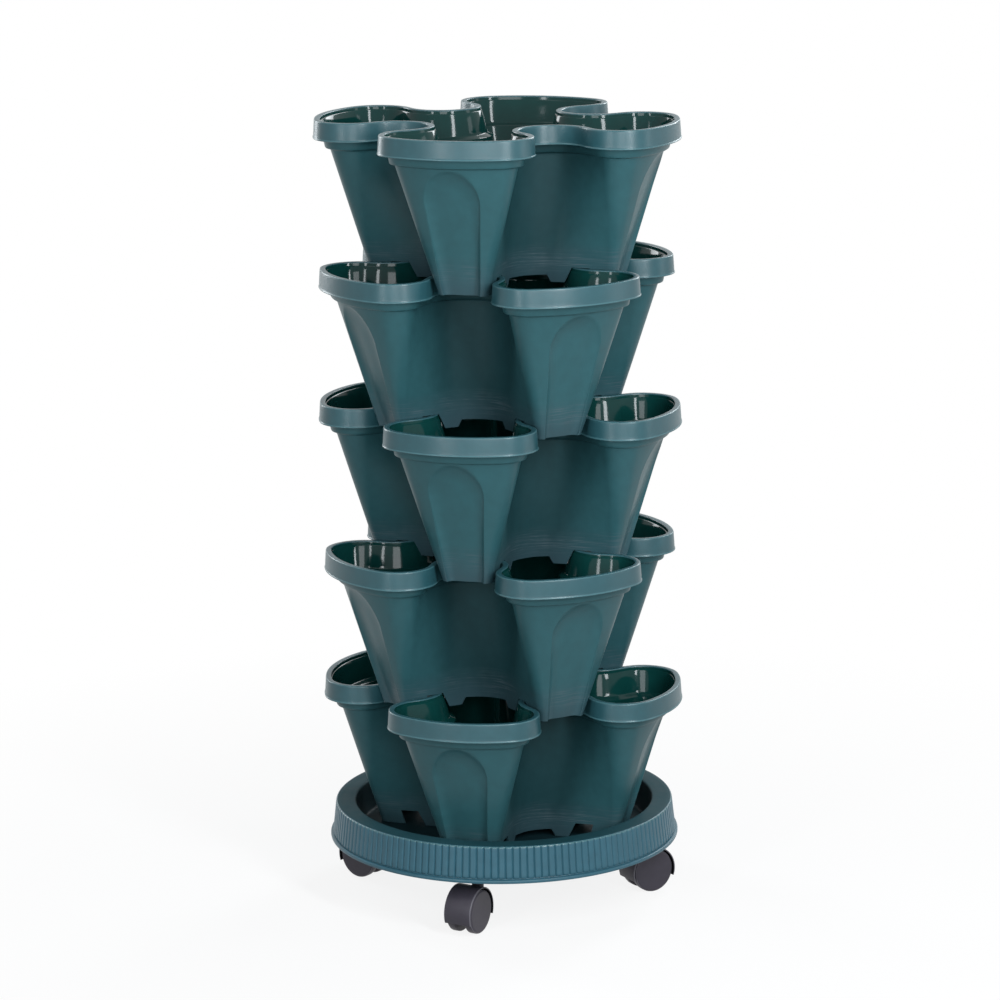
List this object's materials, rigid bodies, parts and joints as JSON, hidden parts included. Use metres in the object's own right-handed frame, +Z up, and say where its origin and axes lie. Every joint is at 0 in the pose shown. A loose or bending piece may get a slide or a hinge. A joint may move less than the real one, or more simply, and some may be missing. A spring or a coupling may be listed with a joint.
{
  "type": "vertical planter tower",
  "caption": "Stack of four-lobed planter pots that nest turned to each other, on a round saucer with swivel casters.",
  "frame": {"origin": "on the floor under the middle of the stack", "axes": "+Z up along the stack, -Y toward the lobe of the lowest pot that faces the front, +X to its right"},
  "size_m": [0.3322, 0.3322, 0.716],
  "materials": {
    "pot_plastic": "matte outside, glossy inside",
    "saucer_plastic": "satin",
    "caster_plastic": "satin",
    "steel": "zinc plated"
  },
  "bodies": {
    "saucer": {"tray": "saucer_plastic", "caster_bush_1": "caster_plastic", "caster_bush_2": "caster_plastic", "caster_bush_3": "caster_plastic", "caster_bush_4": "caster_plastic"},
    "pot_1": {"pot_tier_1_half_1": "pot_plastic", "pot_tier_1_half_2": "pot_plastic"},
    "pot_2": {"pot_tier_2_half_1": "pot_plastic", "pot_tier_2_half_2": "pot_plastic"},
    "pot_3": {"pot_tier_3_half_1": "pot_plastic", "pot_tier_3_half_2": "pot_plastic"},
    "pot_4": {"pot_tier_4_half_1": "pot_plastic", "pot_tier_4_half_2": "pot_plastic"},
    "pot_5": {"pot_tier_5_half_1": "pot_plastic", "pot_tier_5_half_2": "pot_plastic"},
    "caster_1": {"caster_stem_1": "steel", "caster_housing_1": "caster_plastic", "caster_axle_1": "steel"},
    "wheel_left_1": {"wheel_left_1": "caster_plastic"},
    "wheel_right_1": {"wheel_right_1": "caster_plastic"},
    "caster_2": {"caster_stem_2": "steel", "caster_housing_2": "caster_plastic", "caster_axle_2": "steel"},
    "wheel_left_2": {"wheel_left_2": "caster_plastic"},
    "wheel_right_2": {"wheel_right_2": "caster_plastic"},
    "caster_3": {"caster_stem_3": "steel", "caster_housing_3": "caster_plastic", "caster_axle_3": "steel"},
    "wheel_left_3": {"wheel_left_3": "caster_plastic"},
    "wheel_right_3": {"wheel_right_3": "caster_plastic"},
    "caster_4": {"caster_stem_4": "steel", "caster_housing_4": "caster_plastic", "caster_axle_4": "steel"},
    "wheel_left_4": {"wheel_left_4": "caster_plastic"},
    "wheel_right_4": {"wheel_right_4": "caster_plastic"}
  },
  "joints": [
    {"name": "pot_1_lift", "type": "slide", "parent": "saucer", "child": "pot_1", "axis": [0, 0, 1], "range_m": [0, 0.16]},
    {"name": "pot_2_lift", "type": "slide", "parent": "pot_1", "child": "pot_2", "axis": [0, 0, 1], "range_m": [0, 0.16]},
    {"name": "pot_3_lift", "type": "slide", "parent": "pot_2", "child": "pot_3", "axis": [0, 0, 1], "range_m": [0, 0.16]},
    {"name": "pot_4_lift", "type": "slide", "parent": "pot_3", "child": "pot_4", "axis": [0, 0, 1], "range_m": [0, 0.16]},
    {"name": "pot_5_lift", "type": "slide", "parent": "pot_4", "child": "pot_5", "axis": [0, 0, 1], "range_m": [0, 0.16]},
    {"name": "caster_1_swivel", "type": "hinge", "parent": "saucer", "child": "caster_1", "pos_m": [0.00936, -0.11893, 0.044], "axis": [0, 0, 1], "continuous": true},
    {"name": "wheel_left_1_spin", "type": "hinge", "parent": "caster_1", "child": "wheel_left_1", "pos_m": [0.00573, -0.13574, 0.02], "axis": [0.9774, -0.2113, 0], "continuous": true},
    {"name": "wheel_right_1_spin", "type": "hinge", "parent": "caster_1", "child": "wheel_right_1", "pos_m": [0.00573, -0.13574, 0.02], "axis": [0.9774, -0.2113, 0], "continuous": true},
    {"name": "caster_2_swivel", "type": "hinge", "parent": "saucer", "child": "caster_2", "pos_m": [0.11893, 0.00936, 0.044], "axis": [0, 0, 1], "continuous": true},
    {"name": "wheel_left_2_spin", "type": "hinge", "parent": "caster_2", "child": "wheel_left_2", "pos_m": [0.13075, 0.02186, 0.02], "axis": [-0.7266, 0.6871, 0], "continuous": true},
    {"name": "wheel_right_2_spin", "type": "hinge", "parent": "caster_2", "child": "wheel_right_2", "pos_m": [0.13075, 0.02186, 0.02], "axis": [-0.7266, 0.6871, 0], "continuous": true},
    {"name": "caster_3_swivel", "type": "hinge", "parent": "saucer", "child": "caster_3", "pos_m": [-0.00936, 0.11893, 0.044], "axis": [0, 0, 1], "continuous": true},
    {"name": "wheel_left_3_spin", "type": "hinge", "parent": "caster_3", "child": "wheel_left_3", "pos_m": [-0.0191, 0.13311, 0.02], "axis": [-0.8241, -0.5664, 0], "continuous": true},
    {"name": "wheel_right_3_spin", "type": "hinge", "parent": "caster_3", "child": "wheel_right_3", "pos_m": [-0.0191, 0.13311, 0.02], "axis": [-0.8241, -0.5664, 0], "continuous": true},
    {"name": "caster_4_swivel", "type": "hinge", "parent": "saucer", "child": "caster_4", "pos_m": [-0.11893, -0.00936, 0.044], "axis": [0, 0, 1], "continuous": true},
    {"name": "wheel_left_4_spin", "type": "hinge", "parent": "caster_4", "child": "wheel_left_4", "pos_m": [-0.13469, -0.00247, 0.02], "axis": [-0.4003, -0.9164, 0], "continuous": true},
    {"name": "wheel_right_4_spin", "type": "hinge", "parent": "caster_4", "child": "wheel_right_4", "pos_m": [-0.13469, -0.00247, 0.02], "axis": [-0.4003, -0.9164, 0], "continuous": true}
  ]
}
